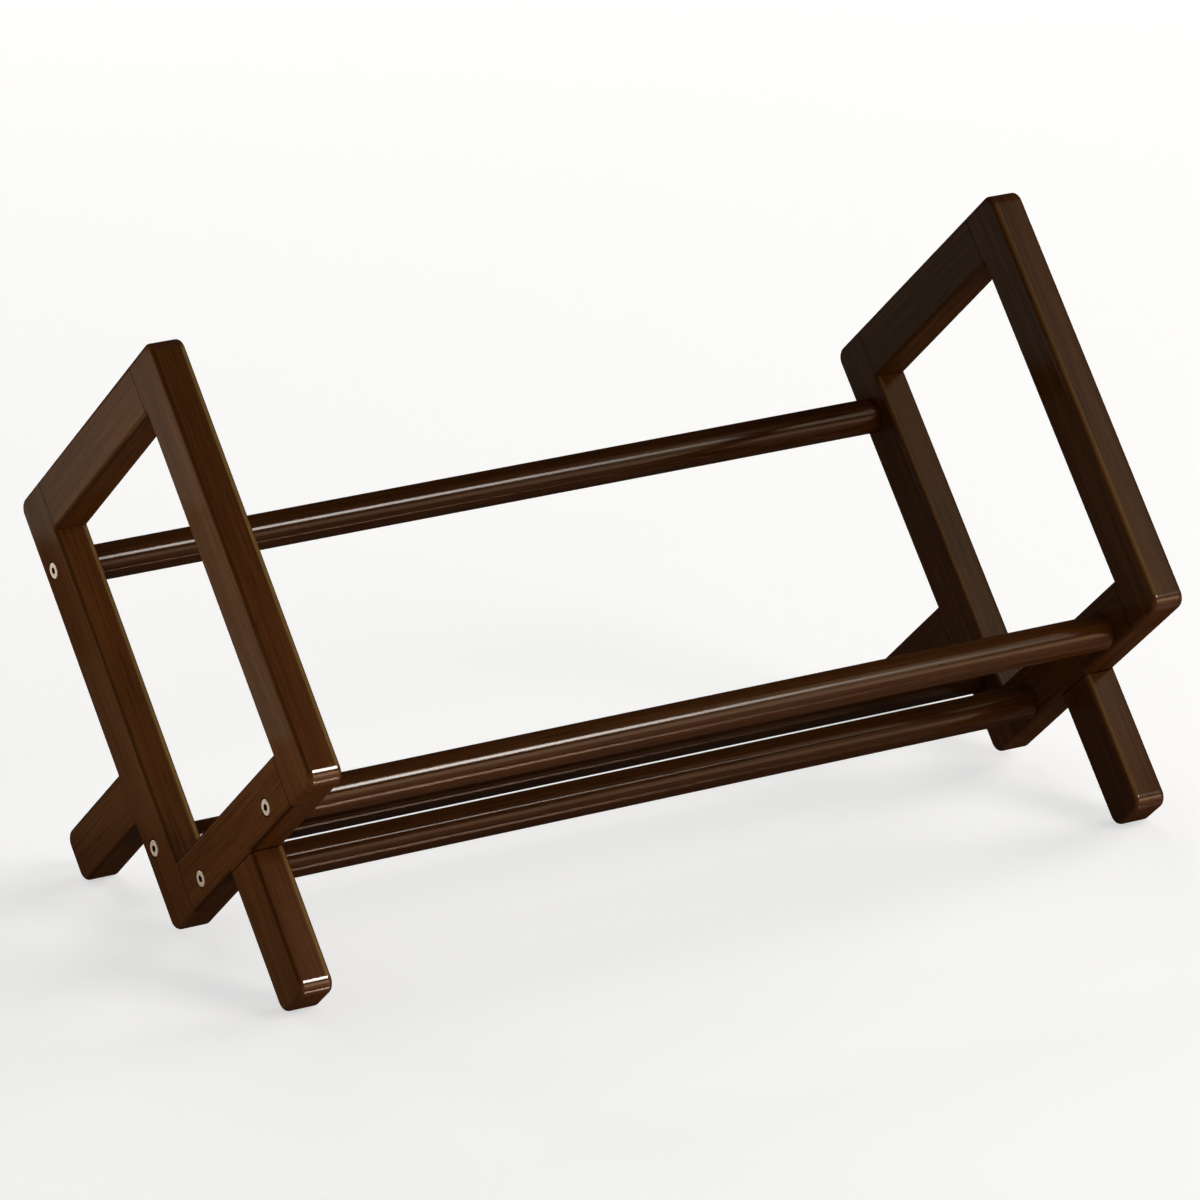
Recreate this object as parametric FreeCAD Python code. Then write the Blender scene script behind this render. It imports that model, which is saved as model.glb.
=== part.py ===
"""Desktop bookshelf: two tilted side frames of glued bars, joined by four round rails.

Each side frame is drawn flat in its own axes: x across the rack, v forward along the seat
from the back of the frame, and u up along the posts from their lower ends. The frame is
then tilted back until both of its legs stand on the desk. In the finished part +X runs
along the rails, the front faces -Y and +Z is up. All sizes are in millimetres.
"""
import FreeCAD, Part
import math
import os

from FreeCAD import Vector

# Side frames
overall_width = 600.0
frame_depth = 222.5
post_length = 281.5
bar_thickness = 22.0
bar_width = 33.0
front_leg_length = 90.0
front_leg_station = 92.5
rear_leg_length = 90.0
rear_leg_station = 70.0
corner_radius = 8.0
edge_radius = 3.0
joint_chamfer = 0.5
foot_flat_depth = 0.5

# Rails
rail_diameter = 22.0
rail_setback = 1.5
rail_end_chamfer = 0.5
rear_seat_rail_gap = 22.0
front_seat_rail_gap = 29.0
back_rail_gap = 17.0

# Bolts and their threaded inserts
bolt_diameter = 6.0
bolt_reach = 16.0
bolt_tip_chamfer = 0.8
head_diameter = 10.0
head_height = 3.5
head_rim_radius = 0.5
head_recess = 0.1
socket_across_flats = 4.0
socket_depth = 3.0
insert_length = 20.0
insert_wall = 2.0

# Dowel pins of the glued joints
dowel_diameter = 8.0
dowel_length = 30.0
dowel_spacing = 14.0
dowel_chamfer = 0.8

# Clearances
head_clearance = 0.75
shank_clearance = 0.3
thread_clearance = 0.1
insert_clearance = 0.1
dowel_clearance = 0.1
bore_end_clearance = 0.5

# Sizes that follow from the ones above
outer_x = -overall_width / 2
inner_x = outer_x + bar_thickness
middle_x = outer_x + bar_thickness / 2
rail_length = overall_width - 2 * bar_thickness
rail_inset = rail_diameter / 2 + rail_setback
head_seat_x = outer_x + head_recess + head_height
insert_diameter = bolt_diameter + 2 * insert_wall
front_leg_end = front_leg_station + bar_width
rear_leg_end = rear_leg_station + bar_width
foot_rise = rear_leg_station + front_leg_length
foot_spread = front_leg_station + rear_leg_length
tilt = math.atan2(foot_rise, foot_spread)

# Rail axes as (v, u) in the side frame, each a gap away from the bar next to it
rail_axes = {
    "front_seat_rail": (frame_depth - bar_width - front_seat_rail_gap, rail_inset),
    "rear_seat_rail": (bar_width + rear_seat_rail_gap, rail_inset),
    "lower_back_rail": (rail_inset, bar_width + back_rail_gap),
    "upper_back_rail": (rail_inset, post_length - bar_width - back_rail_gap),
}


def frame_point(x, v, u):
    """A point given in the side frame's axes, before the tilt."""
    return Vector(x, -v, u)


def frame_box(v_range, u_range):
    """A block across the whole bar thickness of the left side frame."""
    low = frame_point(outer_x, v_range[1], u_range[0])
    return Part.makeBox(bar_thickness, v_range[1] - v_range[0], u_range[1] - u_range[0], low)


def tilted_y(v, u):
    return u * math.sin(tilt) - v * math.cos(tilt)


def tilted_z(v, u):
    return v * math.sin(tilt) + u * math.cos(tilt)


# Where the tilted frame's rounded corners reach, so that it can be set on the desk
front_reach = tilted_y(frame_depth - corner_radius, corner_radius) - corner_radius
rear_reach = tilted_y(corner_radius, post_length - corner_radius) + corner_radius
foot_v = front_leg_station + corner_radius
foot_u = corner_radius - front_leg_length
desk_z = tilted_z(foot_v, foot_u) - corner_radius + foot_flat_depth
part_shift = Vector(0, -(front_reach + rear_reach) / 2, -desk_z)


def place(shape):
    """Tilts a shape from the side frame's axes and sets it on the desk."""
    placed = shape.copy()
    placed.rotate(Vector(0, 0, 0), Vector(1, 0, 0), -math.degrees(tilt))
    placed.translate(part_shift)
    return placed


def mirrored(shape):
    """The same shape on the right side."""
    return shape.mirror(Vector(0, 0, 0), Vector(1, 0, 0))


def single(shape):
    """The one solid of a boolean result."""
    solids = shape.removeSplitter().Solids
    if len(solids) != 1:
        raise ValueError("expected one solid, found %d" % len(solids))
    return solids[0]


def rounded_wire(corners):
    """A closed outline through (v, u, radius) corners on the frame's outer face."""
    edges = []
    starts = []
    ends = []
    for index, (v, u, radius) in enumerate(corners):
        corner = frame_point(outer_x, v, u)
        back = frame_point(outer_x, *corners[index - 1][:2]) - corner
        ahead = frame_point(outer_x, *corners[(index + 1) % len(corners)][:2]) - corner
        back.normalize()
        ahead.normalize()
        starts.append(corner + back * radius)
        ends.append(corner + ahead * radius)
        if radius:
            centre = corner + (back + ahead) * radius
            bisector = corner - centre
            bisector.normalize()
            middle = centre + bisector * radius
            edges.append(Part.Arc(starts[-1], middle, ends[-1]).toShape())
    for index, start in enumerate(starts):
        edges.append(Part.LineSegment(ends[index - 1], start).toShape())
    return Part.Wire(Part.__sortEdges__(edges))


def frame_blank():
    """The whole left side frame in one piece, with its long edges rounded over."""
    outline = rounded_wire([
        (0, 0, corner_radius),
        (front_leg_station, 0, 0),
        (front_leg_station, -front_leg_length, corner_radius),
        (front_leg_end, -front_leg_length, corner_radius),
        (front_leg_end, 0, 0),
        (frame_depth, 0, corner_radius),
        (frame_depth, post_length, corner_radius),
        (0, post_length, corner_radius),
        (0, rear_leg_end, 0),
        (-rear_leg_length, rear_leg_end, corner_radius),
        (-rear_leg_length, rear_leg_station, corner_radius),
        (0, rear_leg_station, 0),
    ])
    window = rounded_wire([
        (bar_width, bar_width, 0),
        (frame_depth - bar_width, bar_width, 0),
        (frame_depth - bar_width, post_length - bar_width, 0),
        (bar_width, post_length - bar_width, 0),
    ])
    across = Vector(bar_thickness, 0, 0)
    plate = Part.Face(outline).extrude(across).cut(Part.Face(window).extrude(across))
    rims = []
    for edge in plate.Edges:
        spread = edge.BoundBox.XLength
        if spread < edge_radius / 10:
            rims.append(edge)
    return plate.makeFillet(edge_radius, rims)


def chamfered_ends(bar, planes):
    """Breaks the edges of a bar's butted ends; planes are (axis, value) in the frame's axes."""
    rim = []
    for edge in bar.Edges:
        box = edge.BoundBox
        for axis, value in planes:
            low = -box.YMax if axis == "v" else box.ZMin
            high = -box.YMin if axis == "v" else box.ZMax
            if abs(low - value) < joint_chamfer / 10 and abs(high - value) < joint_chamfer / 10:
                rim.append(edge)
    return bar.makeChamfer(joint_chamfer, rim)


def side_bars():
    """The six bars of the left side frame, before they are drilled."""
    blank = frame_blank()
    seat_span = (bar_width, frame_depth - bar_width)
    blocks = {
        "front_post": ((frame_depth - bar_width, frame_depth), (0, post_length), []),
        "back_post": ((0, bar_width), (0, post_length), []),
        "top_bar": (
            seat_span,
            (post_length - bar_width, post_length),
            [("v", seat_span[0]), ("v", seat_span[1])],
        ),
        "seat_bar": (seat_span, (0, bar_width), [("v", seat_span[0]), ("v", seat_span[1])]),
        "front_leg": ((front_leg_station, front_leg_end), (-front_leg_length, 0), [("u", 0)]),
        "rear_leg": ((-rear_leg_length, 0), (rear_leg_station, rear_leg_end), [("v", 0)]),
    }
    bars = {}
    for name, (v_range, u_range, butted) in blocks.items():
        bar = single(blank.common(frame_box(v_range, u_range)))
        if butted:
            bar = chamfered_ends(bar, butted)
        bars[name] = bar
    return bars


def joint_list():
    """Each glued joint: its name, its two bars, its centre (v, u) and the direction of its pins."""
    front_face = frame_depth - bar_width
    top_line = post_length - bar_width / 2
    seat_line = bar_width / 2
    front_leg_line = front_leg_station + bar_width / 2
    rear_leg_line = rear_leg_station + bar_width / 2
    return [
        ("top_bar_front", ("top_bar", "front_post"), (front_face, top_line), "v"),
        ("top_bar_back", ("top_bar", "back_post"), (bar_width, top_line), "v"),
        ("seat_bar_front", ("seat_bar", "front_post"), (front_face, seat_line), "v"),
        ("seat_bar_back", ("seat_bar", "back_post"), (bar_width, seat_line), "v"),
        ("front_leg", ("front_leg", "seat_bar"), (front_leg_line, 0), "u"),
        ("rear_leg", ("rear_leg", "back_post"), (0, rear_leg_line), "v"),
    ]


def pin_pair(centre, direction, radius, length):
    """Two round pins side by side across a joint, in the middle of the bar's thickness."""
    v, u = centre
    axis = frame_point(0, 1, 0) if direction == "v" else frame_point(0, 0, 1)
    beside = frame_point(0, 0, 1) if direction == "v" else frame_point(0, 1, 0)
    pins = []
    for side in (-1, 1):
        middle = frame_point(middle_x, v, u) + beside * (side * dowel_spacing / 2)
        pins.append(Part.makeCylinder(radius, length, middle - axis * (length / 2), axis))
    return pins


def dowel_pins(centre, direction):
    pins = []
    for pin in pin_pair(centre, direction, dowel_diameter / 2, dowel_length):
        rims = [edge for edge in pin.Edges if edge.Closed and len(edge.Vertexes) == 1]
        pins.append(pin.makeChamfer(dowel_chamfer, rims))
    return Part.makeCompound(pins)


def dowel_bores(centre, direction):
    radius = dowel_diameter / 2 + dowel_clearance
    length = dowel_length + 2 * bore_end_clearance
    return pin_pair(centre, direction, radius, length)


def along_x(radius, start_x, end_x, axis_point):
    """A cylinder along x between two stations, on a rail's axis."""
    v, u = axis_point
    return Part.makeCylinder(radius, end_x - start_x, frame_point(start_x, v, u), Vector(1, 0, 0))


def bolt_bore(axis_point):
    """The counterbore for the head and the hole for the shank."""
    counterbore = along_x(head_diameter / 2 + head_clearance, outer_x, head_seat_x, axis_point)
    hole = along_x(bolt_diameter / 2 + shank_clearance, outer_x, inner_x, axis_point)
    return [counterbore, hole]


def hex_prism(axis_point, start_x, length):
    v, u = axis_point
    corner_distance = socket_across_flats / math.sqrt(3)
    corners = []
    for step in range(7):
        angle = math.radians(60 * step)
        along_v = v + corner_distance * math.cos(angle)
        along_u = u + corner_distance * math.sin(angle)
        corners.append(frame_point(start_x, along_v, along_u))
    return Part.Face(Part.makePolygon(corners)).extrude(Vector(length, 0, 0))


def bolt(axis_point):
    """A hex-socket bolt with its head sunk below the frame's outer face."""
    face_x = outer_x + head_recess
    head = along_x(head_diameter / 2, face_x, head_seat_x, axis_point)
    rim = [edge for edge in head.Edges if edge.BoundBox.XMax < face_x + head_height / 2]
    head = head.makeFillet(head_rim_radius, rim)
    tip_x = inner_x + bolt_reach
    shank = along_x(bolt_diameter / 2, head_seat_x, tip_x, axis_point)
    tip = [edge for edge in shank.Edges if edge.BoundBox.XMin > tip_x - bolt_tip_chamfer]
    shank = shank.makeChamfer(bolt_tip_chamfer, tip)
    socket = hex_prism(axis_point, face_x, socket_depth)
    return single(head.fuse(shank).cut(socket))


def threaded_insert(axis_point):
    """The metal bush in the rail's end that the bolt screws into."""
    bush = along_x(insert_diameter / 2, inner_x, inner_x + insert_length, axis_point)
    bore = along_x(bolt_diameter / 2 + thread_clearance, inner_x, inner_x + insert_length, axis_point)
    return bush.cut(bore)


def rail(axis_point):
    """A round rail between the side frames, bored at both ends for the inserts."""
    rod = along_x(rail_diameter / 2, inner_x, inner_x + rail_length, axis_point)
    rims = [edge for edge in rod.Edges if edge.Closed and len(edge.Vertexes) == 1]
    rod = rod.makeChamfer(rail_end_chamfer, rims)
    bore_end = inner_x + insert_length + bore_end_clearance
    bore = along_x(insert_diameter / 2 + insert_clearance, inner_x, bore_end, axis_point)
    return single(rod.cut([bore, mirrored(bore)]))


def drilled_bars():
    """The left side frame's bars with their dowel and bolt holes."""
    bars = side_bars()
    cuts = {name: [] for name in bars}
    for _, pair, centre, direction in joint_list():
        for name in pair:
            cuts[name].extend(dowel_bores(centre, direction))
    for rail_name, axis_point in rail_axes.items():
        carrier = "seat_bar" if "seat" in rail_name else "back_post"
        cuts[carrier].extend(bolt_bore(axis_point))
    return {name: single(bar.cut(cuts[name])) for name, bar in bars.items()}


def flat_footed(leg):
    """Cuts a leg's lowest corner flat where it stands on the desk."""
    box = leg.BoundBox
    below = Part.makeBox(box.XLength, box.YLength, corner_radius, Vector(box.XMin, box.YMin, -corner_radius))
    return single(leg.cut(below))


def left_side_pieces():
    pieces = {}
    for name, bar in drilled_bars().items():
        placed = place(bar)
        pieces[name] = flat_footed(placed) if name.endswith("leg") else placed
    for name, _, centre, direction in joint_list():
        pieces[name + "_dowels"] = place(dowel_pins(centre, direction))
    for rail_name, axis_point in rail_axes.items():
        pieces[rail_name + "_bolt"] = place(bolt(axis_point))
        pieces[rail_name + "_insert"] = place(threaded_insert(axis_point))
    return pieces


def main():
    os.makedirs("parts", exist_ok=True)
    for name, axis_point in rail_axes.items():
        place(rail(axis_point)).exportStep("parts/%s.step" % name)
    for name, shape in left_side_pieces().items():
        shape.exportStep("parts/left_%s.step" % name)
        mirrored(shape).exportStep("parts/right_%s.step" % name)


main()
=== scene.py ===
import math

import bpy
from mathutils import Euler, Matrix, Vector


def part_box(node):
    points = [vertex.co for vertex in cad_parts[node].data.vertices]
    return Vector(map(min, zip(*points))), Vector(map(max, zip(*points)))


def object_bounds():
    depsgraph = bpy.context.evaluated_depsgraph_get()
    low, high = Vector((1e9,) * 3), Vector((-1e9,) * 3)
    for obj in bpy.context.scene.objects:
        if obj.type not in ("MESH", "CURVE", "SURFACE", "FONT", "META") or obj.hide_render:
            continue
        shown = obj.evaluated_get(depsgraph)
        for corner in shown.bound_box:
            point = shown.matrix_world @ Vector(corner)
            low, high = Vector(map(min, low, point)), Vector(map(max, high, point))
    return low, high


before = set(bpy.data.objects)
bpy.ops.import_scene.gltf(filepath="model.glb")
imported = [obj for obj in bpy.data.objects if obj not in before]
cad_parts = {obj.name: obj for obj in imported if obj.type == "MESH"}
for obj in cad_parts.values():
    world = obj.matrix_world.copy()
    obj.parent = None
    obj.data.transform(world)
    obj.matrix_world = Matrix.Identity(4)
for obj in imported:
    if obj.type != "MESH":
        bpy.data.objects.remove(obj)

cad_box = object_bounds()

# Camera, found from the photograph's straight edges: metres and degrees, and millimetres for its lens
VIEW_AIM = Vector((-0.0069, -0.0056, 0.1555))
VIEW_DISTANCE = 4.666
VIEW_AZIMUTH = -31.373
VIEW_ELEVATION = 19.112
VIEW_REACH = 100.0
SENSOR_WIDTH = 36.0
FOCAL_LENGTH = 234.91

# The side frames lean back by this angle, so the grain of their bars is slanted
FRAME_TILT = math.radians(41.241)

# Distances of the side frames' inner and outer faces from the middle of the rack
INNER_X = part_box("right_front_post")[0].x
OUTER_X = cad_box[1][0]

# Floor and sky; the floor's lift is light of its own that only the camera and reflections see
FLOOR_SIZE = 40.0
FLOOR_COLOUR = (0.60, 0.60, 0.60)
FLOOR_ROUGHNESS = 0.9
FLOOR_LIFT = 0.575
FLOOR_LIFT_COLOUR = (1.0, 1.0, 1.0)
FLOOR_MIRROR = 0.24
FLOOR_MIRROR_COLOUR = (1.0, 0.7, 0.55)
FLOOR_MIRROR_ROUGHNESS = 0.06
SKY_COLOUR = (1.0, 0.985, 0.96)
SKY_STRENGTH = 0.14

# Grain noises: features per metre across and along the grain, and the noise's detail and roughness
BANDS = {"across": 70.0, "along": 2.5, "detail": 4.0, "roughness": 0.55}
FIBRES = {"across": 800.0, "along": 14.0, "detail": 4.0, "roughness": 0.6}
PORES = {"across": 1900.0, "along": 55.0, "detail": 2.0, "roughness": 0.5}

# Each bar and rail takes its grain from its own stretch of the noise, a number of these steps along
SEED_STEP = (3.7, 5.3, 7.1)

# Stain over the bands, and factors on it over the fibres and the pores: level of the noise, colour
STAIN = [
    (0.30, (0.042, 0.0141, 0.0033)),
    (0.52, (0.053, 0.0182, 0.0043)),
    (0.72, (0.065, 0.0231, 0.0059)),
]
FIBRE_TINT = [(0.36, (0.66, 0.64, 0.62)), (0.52, (1.0, 1.0, 1.0)), (0.70, (1.22, 1.22, 1.22))]
PORE_TINT = [(0.30, (0.5, 0.47, 0.45)), (0.42, (1.0, 1.0, 1.0))]
FIBRE_SHARE = 0.9
PORE_SHARE = 0.8

# Share of the stain's colour and weight of the coat, on the front rail and on the three behind it; the
# lower share behind is painted shade
FRONT_RAIL = {"share": 0.8, "coat": 0.023}
SHADED_OTHER_RAIL = {"share": 0.6, "coat": 0.015}

# Weight of the coat on the bars' faces and on their end corners
FACE_COAT = 0.010
CORNER_COAT = 0.047

# Coat and relief of all the wood
COAT_IOR = 3.0
COAT_ROUGHNESS = 0.12
WOOD_ROUGHNESS = (0.3, 0.5)
RELIEF_STRENGTH = 0.08
RELIEF_DEPTH = 0.0002

# Stain worn thin along the upper edges on the inside of the rack, with a painted sheen on them, more on
# the left, where light falls on those edges
WEAR_AND_SHEEN_COLOUR = (0.16, 0.10, 0.032)
WEAR_AND_SHEEN_SHARE = {"left": 0.7, "right": 0.3}
WEAR_AND_SHEEN_BANDS = (0.2, 0.6)
WEAR_AND_SHEEN_WIDTH = 0.0045
WEAR_AND_SHEEN_FADE = 0.001

# Painted shade along the outer edges, and stain gathered within a hair of the butt joints
RIM_PAINTED_SHADE = 0.5
JOINT_SHADE = 0.2
JOINT_SHADE_FULL = 0.0006
JOINT_SHADE_END = 0.0011

# Ranges of the surface normal over which the masks of a bar's rounded parts rise or fall: its parts
# across the frame, along the grain and upwards, and its outward part times the distance from the middle
LONG_EDGE_ALONG_FALL = (0.05, 0.3)
EDGE_ACROSS_FALL = (0.45, 0.7)
EDGE_UP_RISE = (0.0, 0.1)
RIM_ACROSS_RISE = (0.2, 0.45)
RIM_ACROSS_FALL = (0.8, 0.97)
RIM_OUTWARD_RISE = (0.0, 0.01)
CORNER_ALONG_RISE = (0.005, 0.05)
CORNER_ALONG_FALL = (0.9, 0.99)
CORNER_ACROSS_FALL = (0.3, 0.6)

# Bolt steel, with painted shade between two depths below the outer face, in the socket and round the head
STEEL_TINT = [(0.3, (0.28, 0.19, 0.155)), (0.7, (0.35, 0.245, 0.2))]
STEEL_ROUGHNESS = (0.5, 0.62)
STEEL_SCALE = 2400.0
STEEL_DETAIL = 3.0
SOCKET_PAINTED_SHADE = 0.14
SOCKET_SHADE_START = 0.0003
SOCKET_SHADE_FULL = 0.0005

# Brass inserts and beech dowels, inside the wood
BRASS_TINT = [(0.35, (0.42, 0.30, 0.10)), (0.65, (0.55, 0.42, 0.18))]
BRASS_SCALE = 900.0
BEECH_TINT = [(0.35, (0.45, 0.28, 0.13)), (0.65, (0.56, 0.38, 0.2))]
BEECH_SCALE = 300.0
HIDDEN_DETAIL = 4.0
HIDDEN_ROUGHNESS = 0.5

# Turns that bring the grain onto Z, from u along the posts, v along the top bars or x along the rails
GRAIN_TURN = {"u": (0, 0, 0), "v": (math.pi / 2, 0, 0), "x": (0, math.pi / 2, 0)}

# Grain direction of each bar of a side frame, and which of its ends are butted against another bar
BARS = {
    "front_post": ("u", ()), "back_post": ("u", ()), "front_leg": ("u", (max,)),
    "top_bar": ("v", (min, max)), "seat_bar": ("v", (min, max)), "rear_leg": ("v", (max,)),
}

# The cards' elevations and distances are measured from a line along X through this point
CARD_CENTRE = Vector((0.0, -0.122, 0.118))

# Colour of the two plain lamps that light the back and the right
PLAIN_LIGHT = (1.0, 0.98, 0.95)

# Places of a mix node's colour sockets
MIX_FIRST = 6
MIX_SECOND = 7
MIX_RESULT = 2


def new_material(name):
    """An empty node material and its main shader."""
    material = bpy.data.materials.new(name)
    material.use_nodes = True
    tree = material.node_tree
    return material, tree, tree.nodes["Principled BSDF"]


def add(tree, kind, inputs=None, **settings):
    """A new shader node; an input is a number or vector, or a socket to link from."""
    node = tree.nodes.new(kind)
    for name, value in settings.items():
        setattr(node, name, value)
    for name, value in (inputs or {}).items():
        if isinstance(value, bpy.types.NodeSocket):
            tree.links.new(value, node.inputs[name])
        else:
            node.inputs[name].default_value = value
    return node


def maths(tree, operation, *values):
    """One operation on one or two values."""
    return add(tree, "ShaderNodeMath", dict(enumerate(values)), operation=operation).outputs[0]


def product(tree, first, *others):
    """Values multiplied together."""
    for other in others:
        first = maths(tree, "MULTIPLY", first, other)
    return first


def band(tree, value, low, high, before, after):
    """A value mapped from one level to another over a range, and held beyond it."""
    node = add(tree, "ShaderNodeMapRange", {
        "Value": value, "From Min": low, "From Max": high, "To Min": before, "To Max": after})
    return node.outputs["Result"]


def rise(tree, value, reach):
    """0 below a range and 1 above it."""
    return band(tree, value, *reach, 0.0, 1.0)


def fall(tree, value, reach):
    """1 below a range and 0 above it."""
    return band(tree, value, *reach, 1.0, 0.0)


def parts_of(tree, vector):
    """The X, Y and Z parts of a vector."""
    return add(tree, "ShaderNodeSeparateXYZ", {"Vector": vector}).outputs


def ramp(tree, source, stops):
    """A colour ramp through (position, colour) stops."""
    node = add(tree, "ShaderNodeValToRGB", {"Fac": source})
    elements = node.color_ramp.elements
    while len(elements) < len(stops):
        elements.new(0.5)
    for element, (position, colour) in zip(elements, stops):
        element.position = position
        element.color = (*colour, 1.0)
    return node.outputs["Color"]


def times(tree, colour, factor, share):
    """A colour multiplied by a share of a factor, which is a colour or a value."""
    node = add(tree, "ShaderNodeMix", {"Factor": share}, data_type="RGBA", blend_type="MULTIPLY")
    tree.links.new(colour, node.inputs[MIX_FIRST])
    tree.links.new(factor, node.inputs[MIX_SECOND])
    return node.outputs[MIX_RESULT]


def towards(tree, colour, other, share):
    """A colour mixed towards a plain one."""
    node = add(tree, "ShaderNodeMix", {"Factor": share}, data_type="RGBA")
    tree.links.new(colour, node.inputs[MIX_FIRST])
    node.inputs[MIX_SECOND].default_value = (*other, 1.0)
    return node.outputs[MIX_RESULT]


def object_place(tree):
    """A point's place in the rack's frame."""
    return add(tree, "ShaderNodeTexCoord").outputs["Object"]


def into_grain(tree, vector, axis):
    """A vector turned into the side frame's axes, and then so that the grain runs along Z."""
    for rotation in ((FRAME_TILT, 0, 0), GRAIN_TURN[axis]):
        turn = add(tree, "ShaderNodeMapping", {"Vector": vector, "Rotation": rotation})
        vector = turn.outputs["Vector"]
    return vector


def point_into_grain(point, axis):
    """The same turns for a point of a mesh."""
    for rotation in ((FRAME_TILT, 0, 0), GRAIN_TURN[axis]):
        point = Euler(rotation).to_matrix() @ point
    return point


def grain_noise(tree, space, seed, across, along, detail, roughness):
    """Noise drawn out along the grain."""
    place = [seed * step for step in SEED_STEP]
    scaled = add(tree, "ShaderNodeMapping", {
        "Vector": space, "Scale": (across, across, along), "Location": place})
    noise = add(tree, "ShaderNodeTexNoise", {
        "Vector": scaled.outputs["Vector"], "Scale": 1.0, "Detail": detail, "Roughness": roughness})
    return noise.outputs["Fac"]


def end_shade(tree, space, ends):
    """A factor of 1 along a bar that falls within a hair of its butted ends, where stain gathers."""
    along = parts_of(tree, space)["Z"]
    shades = []
    for end in ends:
        away = maths(tree, "ABSOLUTE", maths(tree, "SUBTRACT", along, end))
        shades.append(band(tree, away, JOINT_SHADE_FULL, JOINT_SHADE_END, JOINT_SHADE, 1.0))
    return product(tree, *shades)


def rounded_parts(tree, axis):
    """Masks of a bar's inner edges (wear and painted sheen), outer edges (painted shade) and end corners;
    its flat faces are in none.
    """
    normal = add(tree, "ShaderNodeNewGeometry").outputs["Normal"]
    side = parts_of(tree, object_place(tree))["X"]
    facing = parts_of(tree, normal)
    turned = parts_of(tree, into_grain(tree, normal, axis))
    across = maths(tree, "ABSOLUTE", turned["X"])
    along = maths(tree, "ABSOLUTE", turned["Z"])
    on_long_edge = fall(tree, along, LONG_EDGE_ALONG_FALL)
    # Inner upper edges, which take wear and a painted sheen
    wear_and_sheen_end = INNER_X + WEAR_AND_SHEEN_WIDTH
    edges = product(
        tree, on_long_edge,
        fall(tree, maths(tree, "ABSOLUTE", side), (wear_and_sheen_end - WEAR_AND_SHEEN_FADE, wear_and_sheen_end)),
        fall(tree, across, EDGE_ACROSS_FALL),
        rise(tree, facing["Z"], EDGE_UP_RISE))
    # Outer edges, which take painted shade
    shaded_rims = product(
        tree, on_long_edge,
        rise(tree, across, RIM_ACROSS_RISE),
        fall(tree, across, RIM_ACROSS_FALL),
        rise(tree, product(tree, side, facing["X"]), RIM_OUTWARD_RISE))
    corners = product(
        tree, rise(tree, along, CORNER_ALONG_RISE),
        fall(tree, along, CORNER_ALONG_FALL),
        fall(tree, across, CORNER_ACROSS_FALL))
    return edges, shaded_rims, corners


def stained_grain(tree, axis, seed, share, ends):
    """The stain's colour with its grain along one axis, and the noises of its bands and fibres."""
    space = into_grain(tree, object_place(tree), axis)
    bands = grain_noise(tree, space, seed, **BANDS)
    fibres = grain_noise(tree, space, seed, **FIBRES)
    pores = grain_noise(tree, space, seed, **PORES)
    colour = ramp(tree, bands, [(level, Vector(stain) * share) for level, stain in STAIN])
    colour = times(tree, colour, ramp(tree, fibres, FIBRE_TINT), FIBRE_SHARE)
    colour = times(tree, colour, ramp(tree, pores, PORE_TINT), PORE_SHARE)
    if ends:
        colour = times(tree, colour, end_shade(tree, space, ends), 1.0)
    return colour, bands, fibres


def lacquer(tree, shader, fibres):
    """Roughness and relief that follow the fibres, under a smooth coat."""
    tree.links.new(band(tree, fibres, 0.0, 1.0, *WOOD_ROUGHNESS), shader.inputs["Roughness"])
    relief = add(tree, "ShaderNodeBump", {
        "Height": fibres, "Strength": RELIEF_STRENGTH, "Distance": RELIEF_DEPTH})
    tree.links.new(relief.outputs["Normal"], shader.inputs["Normal"])
    shader.inputs["Specular IOR Level"].default_value = 0.0
    shader.inputs["Coat IOR"].default_value = COAT_IOR
    shader.inputs["Coat Roughness"].default_value = COAT_ROUGHNESS


def rail_wood(name, seed, share, coat):
    """Dark stained and lacquered wood of a round rail."""
    material, tree, shader = new_material(name)
    colour, _, fibres = stained_grain(tree, "x", seed, share, ())
    tree.links.new(colour, shader.inputs["Base Color"])
    shader.inputs["Coat Weight"].default_value = coat
    lacquer(tree, shader, fibres)
    return material


def bar_wood(name, axis, seed, worn, ends):
    """Dark stained and lacquered wood of a bar, with wear and a painted sheen on the inner edges, painted
    shade on the outer edges, and glossier end corners.
    """
    material, tree, shader = new_material(name)
    colour, bands, fibres = stained_grain(tree, axis, seed, 1.0, ends)
    edges, shaded_rims, corners = rounded_parts(tree, axis)
    # Painted shade along the outer edges
    colour = times(tree, colour, band(tree, shaded_rims, 0.0, 1.0, 1.0, RIM_PAINTED_SHADE), 1.0)
    # Wear and a painted sheen along the inner upper edges
    wear = band(tree, product(tree, edges, bands), *WEAR_AND_SHEEN_BANDS, 0.0, worn)
    tree.links.new(towards(tree, colour, WEAR_AND_SHEEN_COLOUR, wear), shader.inputs["Base Color"])
    coat = band(tree, corners, 0.0, 1.0, FACE_COAT, CORNER_COAT)
    tree.links.new(coat, shader.inputs["Coat Weight"])
    lacquer(tree, shader, fibres)
    return material


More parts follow.
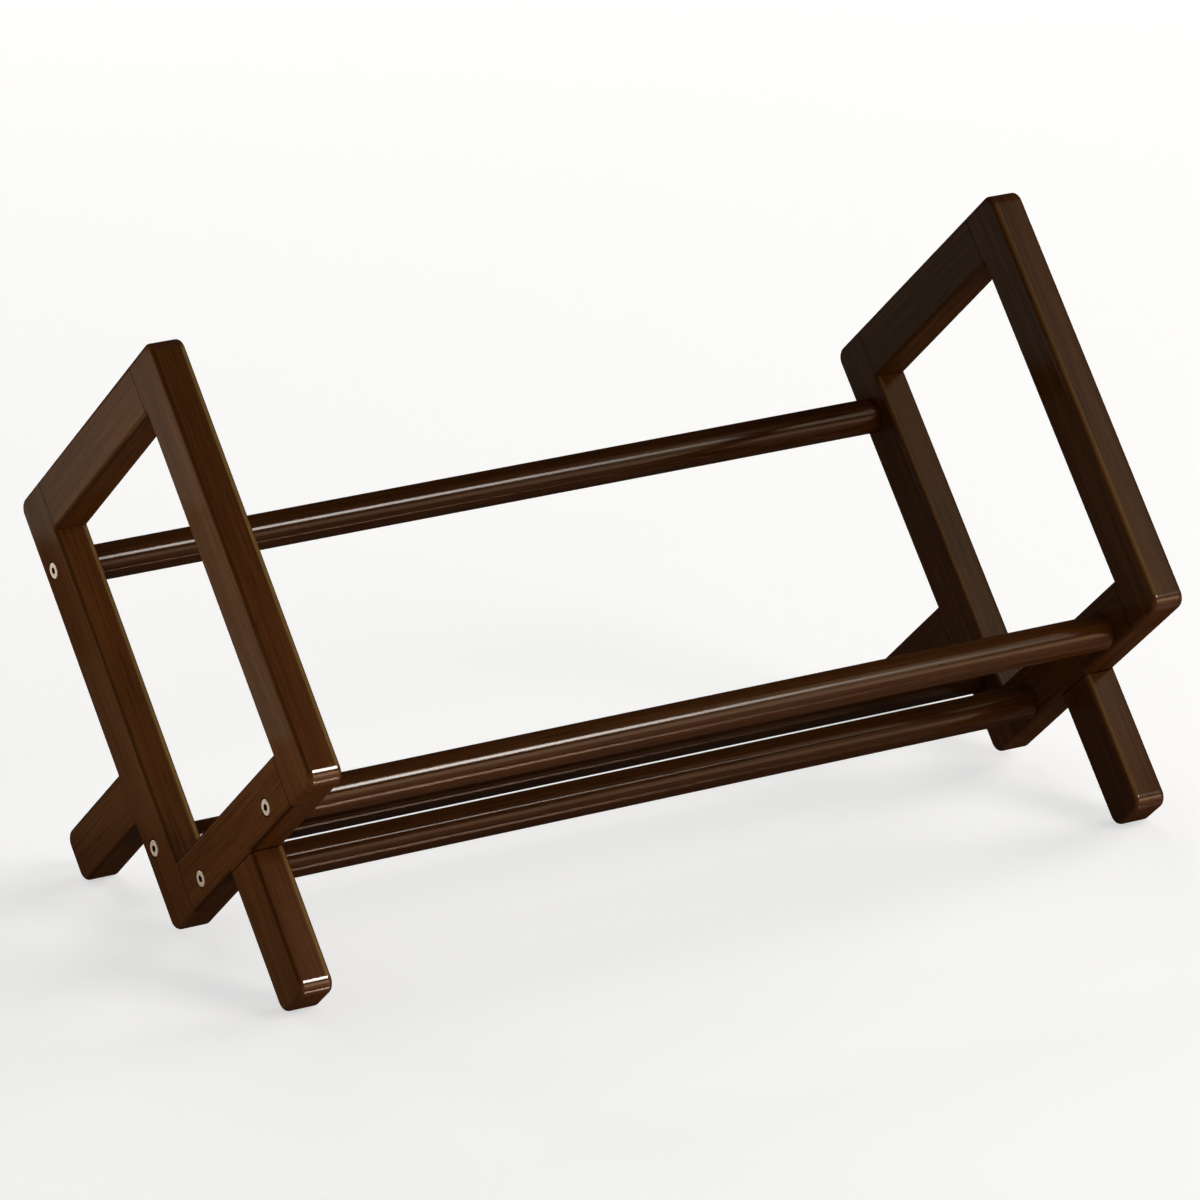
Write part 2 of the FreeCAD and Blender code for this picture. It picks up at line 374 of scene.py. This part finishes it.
def plated_steel():
    """Nickel-plated bolt steel, with painted shade in the socket and down the sides of the head."""
    material, tree, shader = new_material("plated_steel")
    place = object_place(tree)
    noise = add(tree, "ShaderNodeTexNoise", {
        "Vector": place, "Scale": STEEL_SCALE, "Detail": STEEL_DETAIL})
    colour = ramp(tree, noise.outputs["Fac"], STEEL_TINT)
    distance = maths(tree, "ABSOLUTE", parts_of(tree, place)["X"])
    shade = band(
        tree, distance, OUTER_X - SOCKET_SHADE_FULL, OUTER_X - SOCKET_SHADE_START, SOCKET_PAINTED_SHADE, 1.0)
    tree.links.new(times(tree, colour, shade, 1.0), shader.inputs["Base Color"])
    rough = band(tree, noise.outputs["Fac"], 0.0, 1.0, *STEEL_ROUGHNESS)
    tree.links.new(rough, shader.inputs["Roughness"])
    shader.inputs["Metallic"].default_value = 1.0
    return material


def mottled(name, tint, scale, metallic):
    """A mottled finish for the pieces inside the wood."""
    material, tree, shader = new_material(name)
    noise = add(tree, "ShaderNodeTexNoise", {
        "Vector": object_place(tree), "Scale": scale, "Detail": HIDDEN_DETAIL})
    tree.links.new(ramp(tree, noise.outputs["Fac"], tint), shader.inputs["Base Color"])
    shader.inputs["Metallic"].default_value = metallic
    shader.inputs["Roughness"].default_value = HIDDEN_ROUGHNESS
    return material


def wood_for(node, seed):
    """The wood of one rail or bar; a bar's butted ends are found from its mesh."""
    name = "wood_" + node
    if node == "front_seat_rail":
        return rail_wood(name, seed, **FRONT_RAIL)
    # The three rails behind the front one are darkened with painted shade
    if node.endswith("_rail"):
        return rail_wood(name, seed, **SHADED_OTHER_RAIL)
    hand, bar = node.split("_", 1)
    axis, butted = BARS[bar]
    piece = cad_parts[node]
    points = [piece.matrix_world @ vertex.co for vertex in piece.data.vertices]
    along = [point_into_grain(point, axis).z for point in points]
    return bar_wood(name, axis, seed, WEAR_AND_SHEEN_SHARE[hand], [pick(along) for pick in butted])


def finish_nodes():
    """A finish for every node of the frame; each bar and rail has its own stretch of grain."""
    steel = plated_steel()
    brass = mottled("insert_brass", BRASS_TINT, BRASS_SCALE, 1.0)
    beech = mottled("bare_beech", BEECH_TINT, BEECH_SCALE, 0.0)
    for seed, node in enumerate(sorted(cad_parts)):
        if node.endswith("_bolt"):
            material = steel
        elif node.endswith("_insert"):
            material = brass
        elif node.endswith("_dowels"):
            material = beech
        else:
            material = wood_for(node, seed)
        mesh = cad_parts[node].data
        mesh.materials.clear()
        mesh.materials.append(material)


def floor_material():
    """Pale floor, lifted towards white where it is seen or mirrored, and polished where it is mirrored."""
    material, tree, shader = new_material("floor")
    shader.inputs["Base Color"].default_value = (*FLOOR_COLOUR, 1.0)
    shader.inputs["Roughness"].default_value = FLOOR_ROUGHNESS
    shader.inputs["Specular IOR Level"].default_value = 0.0
    shader.inputs["Emission Color"].default_value = (*FLOOR_LIFT_COLOUR, 1.0)
    path = add(tree, "ShaderNodeLightPath").outputs
    seen = path["Is Camera Ray"]
    for kind in ("Is Glossy Ray", "Is Transmission Ray"):
        seen = maths(tree, "MAXIMUM", seen, path[kind])
    tree.links.new(maths(tree, "MULTIPLY", seen, FLOOR_LIFT), shader.inputs["Emission Strength"])
    polish = maths(tree, "MULTIPLY", path["Is Glossy Ray"], FLOOR_MIRROR)
    mirror = add(tree, "ShaderNodeBsdfGlossy", {
        "Color": (*FLOOR_MIRROR_COLOUR, 1.0), "Roughness": FLOOR_MIRROR_ROUGHNESS})
    both = add(tree, "ShaderNodeMixShader", {
        0: polish, 1: shader.outputs["BSDF"], 2: mirror.outputs["BSDF"]})
    tree.links.new(both.outputs[0], tree.nodes["Material Output"].inputs["Surface"])
    return material


def build_floor():
    """A square floor under the rack."""
    mesh = bpy.data.meshes.new("floor")
    half = FLOOR_SIZE / 2
    corners = [(-half, -half, 0), (half, -half, 0), (half, half, 0), (-half, half, 0)]
    mesh.from_pydata(corners, [], [(0, 1, 2, 3)])
    mesh.materials.append(floor_material())
    floor = bpy.data.objects.new("floor", mesh)
    bpy.context.scene.collection.objects.link(floor)
    return floor


def lamp(name, centre, facing, width, height, radiance, colour, hidden_from):
    """A rectangular lamp that faces one way, hidden from one kind of ray; radiance 1 looks white."""
    light = bpy.data.lights.new(name, "AREA")
    light.shape = "RECTANGLE"
    light.size = width
    light.size_y = height
    light.energy = radiance * math.pi * width * height
    light.color = colour
    holder = bpy.data.objects.new(name, light)
    holder.location = centre
    holder.rotation_euler = (-Vector(facing)).to_track_quat("Z", "Y").to_euler()
    holder.visible_camera = False
    setattr(holder, "visible_" + hidden_from, False)
    bpy.context.scene.collection.objects.link(holder)


def card(name, elevation, distance, left, right, height, radiance, colour):
    """A bright card to be mirrored, level along X, at an elevation in front of the rack."""
    slope = math.radians(elevation)
    away = Vector((0, -math.cos(slope), math.sin(slope)))
    centre = CARD_CENTRE + away * distance
    centre.x = (left + right) / 2
    lamp(name, centre, -away, right - left, height, radiance, colour, "diffuse")


def sheen(name, centre, width, height, radiance, colour):
    """A low card that faces forwards, to be mirrored at a grazing angle."""
    lamp(name, centre, (0.0, -1.0, 0.0), width, height, radiance, colour, "diffuse")


def soft(name, centre, facing, width, height, radiance, colour):
    """A lamp that gives light and isn't mirrored."""
    lamp(name, centre, facing, width, height, radiance, colour, "glossy")


def build_cards():
    """Cards that are mirrored, in the lacquer and the bolts, and give no other light."""
    # One bright window in three strips, dimmer and warmer towards the right
    window = {"elevation": 44.2, "distance": 9.0, "height": 2.37}
    card("key", **window, left=4.1, right=5.08, radiance=128.0, colour=(1.0, 0.94, 0.88))
    card("key_fade", **window, left=5.08, right=5.3, radiance=57.0, colour=(1.0, 0.9, 0.76))
    card("key_tail", **window, left=5.3, right=5.6, radiance=9.5, colour=(1.0, 0.87, 0.62))
    card("rail_glow", elevation=46.0, distance=5.0, left=3.15, right=3.42, height=5.1,
         radiance=9.0, colour=(1.0, 0.78, 0.45))
    card("face_glow", elevation=64.0, distance=5.0, left=3.45, right=4.2, height=1.2,
         radiance=9.6, colour=(0.86, 0.96, 0.74))
    card("leg_glow", elevation=54.3, distance=1.5, left=0.53, right=0.63, height=0.225,
         radiance=24.0, colour=(1.0, 0.62, 0.4))
    card("low_front", elevation=8.5, distance=3.0, left=1.05, right=2.4, height=1.15,
         radiance=11.1, colour=(1.0, 0.66, 0.42))
    sheen("side_sheen", centre=(-0.65, 0.56, 0.1075), width=0.6, height=0.125,
          radiance=7.8, colour=(0.88, 1.0, 0.84))
    sheen("post_sheen", centre=(-0.4925, 0.12, 0.13), width=0.215, height=0.15,
          radiance=4.2, colour=(0.66, 1.0, 0.82))
    sheen("inner_sheen", centre=(-0.05, 0.56, 0.12), width=0.4, height=0.16,
          radiance=1.8, colour=(0.75, 1.0, 0.85))


def build_lamps():
    """Lamps that light the rack and the floor, and a dim sky."""
    soft("soft_key", centre=(1.45, -1.88, 1.95), facing=(-0.485, 0.626, -0.609), width=1.5, height=1.5,
         radiance=4.0, colour=(1.0, 0.97, 0.93))
    soft("left", centre=(-0.56, -0.06, 0.25), facing=(1.0, 0.0, -0.1), width=0.42, height=0.38,
         radiance=2.4, colour=(1.0, 0.95, 0.86))
    soft("foot", centre=(0.38, -1.05, 0.07), facing=(0.0, 1.0, 0.08), width=0.6, height=0.13,
         radiance=18.0, colour=(1.0, 0.82, 0.64))
    soft("left_foot", centre=(-0.30, -0.62, 0.05), facing=(-0.5, 0.85, 0.1), width=0.25, height=0.10,
         radiance=15.0, colour=(1.0, 0.82, 0.62))
    soft("back", centre=(0.5, 6.5, 1.7), facing=(-0.08, -0.97, -0.23), width=5.2, height=2.6,
         radiance=7.0, colour=PLAIN_LIGHT)
    soft("right", centre=(7.5, 1.2, 1.95), facing=(-0.96, -0.15, -0.23), width=4.5, height=3.0,
         radiance=9.0, colour=PLAIN_LIGHT)
    world = bpy.data.worlds.new("studio")
    world.use_nodes = True
    background = world.node_tree.nodes["Background"]
    background.inputs["Color"].default_value = (*SKY_COLOUR, 1.0)
    background.inputs["Strength"].default_value = SKY_STRENGTH
    bpy.context.scene.world = world


def keep_off(lamps, objects):
    """Some lamps light everything but these objects, as if flags shaded them."""
    shaded = bpy.data.collections.new("shaded")
    for shaded_object in objects:
        shaded.objects.link(shaded_object)
    for entry in shaded.collection_objects:
        entry.light_linking.link_state = "EXCLUDE"
    for name in lamps:
        bpy.data.objects[name].light_linking.receiver_collection = shaded


def build_camera():
    """The camera at the photograph's viewing angle."""
    lens = bpy.data.cameras.new("camera")
    lens.sensor_width = SENSOR_WIDTH
    lens.lens = FOCAL_LENGTH
    lens.clip_end = VIEW_REACH
    camera = bpy.data.objects.new("camera", lens)
    turn = Euler((math.radians(90 - VIEW_ELEVATION), 0, math.radians(VIEW_AZIMUTH)))
    camera.rotation_euler = turn
    forward = turn.to_matrix() @ Vector((0, 0, -1))
    camera.location = VIEW_AIM - forward * VIEW_DISTANCE
    bpy.context.scene.collection.objects.link(camera)
    bpy.context.scene.camera = camera


bpy.context.scene.view_settings.view_transform = "Standard"
finish_nodes()
floor = build_floor()
build_cards()
build_lamps()
# The low lamps leave no pools of light on the floor, and the left one leaves the right frame in shade
right_frame = [piece for node, piece in sorted(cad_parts.items()) if node.startswith("right_")]
keep_off(("foot", "left_foot"), [floor])
keep_off(("left",), [floor] + right_frame)
build_camera()
